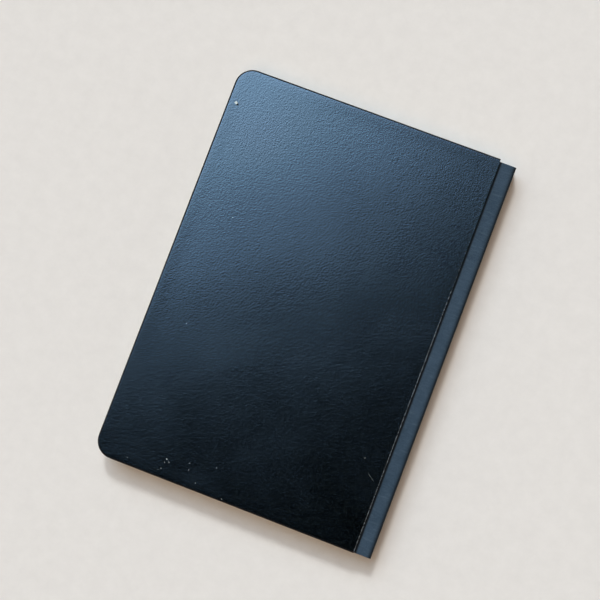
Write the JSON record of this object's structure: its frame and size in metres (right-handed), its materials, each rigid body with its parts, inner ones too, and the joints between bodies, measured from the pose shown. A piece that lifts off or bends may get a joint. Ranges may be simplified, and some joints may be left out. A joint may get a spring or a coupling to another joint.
{
  "type": "pocket notebook",
  "caption": "Sewn pocket notebook with dark covered boards laid over a cloth spine strip; covers, lay-flat middle and loose middle leaves open on hinges.",
  "frame": {"origin": "under the middle of the closed notebook, on the outer face of the front cover it lies on", "axes": "+X from the fore edge towards the spine, +Y from tail to head, +Z through the thickness towards the back cover"},
  "size_m": [0.105, 0.148, 0.0116],
  "materials": {
    "covering": "satin",
    "greyboard": "matte",
    "endpaper": "matte",
    "spine_cloth": "matte",
    "leaves": "matte",
    "thread": "matte",
    "glue": "satin",
    "lining": "matte"
  },
  "bodies": {
    "front_cover": {"front_cover_sheet": "covering", "front_board": "greyboard", "front_pastedown": "endpaper", "front_hinge_strip": "spine_cloth"},
    "front_block": {"front_flyleaf": "endpaper", "signature_01": "leaves", "signature_02": "leaves", "signature_03": "leaves", "signature_04": "leaves", "signature_05": "leaves", "front_sewing_thread": "thread", "front_spine_glue": "glue", "front_spine_lining": "lining", "front_spine_strip": "spine_cloth"},
    "leaf_1": {"centre_leaf_1": "leaves"},
    "leaf_2": {"centre_leaf_2": "leaves"},
    "leaf_3": {"centre_leaf_3": "leaves"},
    "back_block": {"signature_06": "leaves", "signature_07": "leaves", "signature_08": "leaves", "signature_09": "leaves", "signature_10": "leaves", "back_flyleaf": "endpaper", "back_sewing_thread": "thread", "back_spine_glue": "glue", "back_spine_lining": "lining", "back_spine_strip": "spine_cloth"},
    "back_cover": {"back_hinge_strip": "spine_cloth", "back_pastedown": "endpaper", "back_board": "greyboard", "back_cover_sheet": "covering"}
  },
  "joints": [
    {"name": "front_cover_hinge", "type": "hinge", "parent": "front_cover", "child": "front_block", "pos_m": [0.05252, 0, 0.00578], "axis": [0, -1, 0], "range_deg": [-180, 0]},
    {"name": "centre_opening", "type": "hinge", "parent": "front_block", "child": "back_block", "pos_m": [0.05252, 0, 0.00578], "axis": [0, 1, 0], "range_deg": [0, 180]},
    {"name": "back_cover_hinge", "type": "hinge", "parent": "back_block", "child": "back_cover", "pos_m": [0.05252, 0, 0.01161], "axis": [0, 1, 0], "range_deg": [0, 180]},
    {"name": "leaf_1_turn", "type": "hinge", "parent": "front_block", "child": "leaf_1", "pos_m": [0.05099, 0, 0.00568], "axis": [0, 1, 0], "range_deg": [0, 27]},
    {"name": "leaf_2_turn", "type": "hinge", "parent": "front_block", "child": "leaf_2", "pos_m": [0.05114, 0, 0.00578], "axis": [0, 1, 0], "range_deg": [0, 54]},
    {"name": "leaf_3_turn", "type": "hinge", "parent": "front_block", "child": "leaf_3", "pos_m": [0.05129, 0, 0.00588], "axis": [0, 1, 0], "range_deg": [0, 90]}
  ],
  "couplings": [
    {"joint": "leaf_1_turn", "follows": "centre_opening", "ratio": 0.15},
    {"joint": "leaf_2_turn", "follows": "centre_opening", "ratio": 0.3},
    {"joint": "leaf_3_turn", "follows": "centre_opening", "ratio": 0.5}
  ]
}
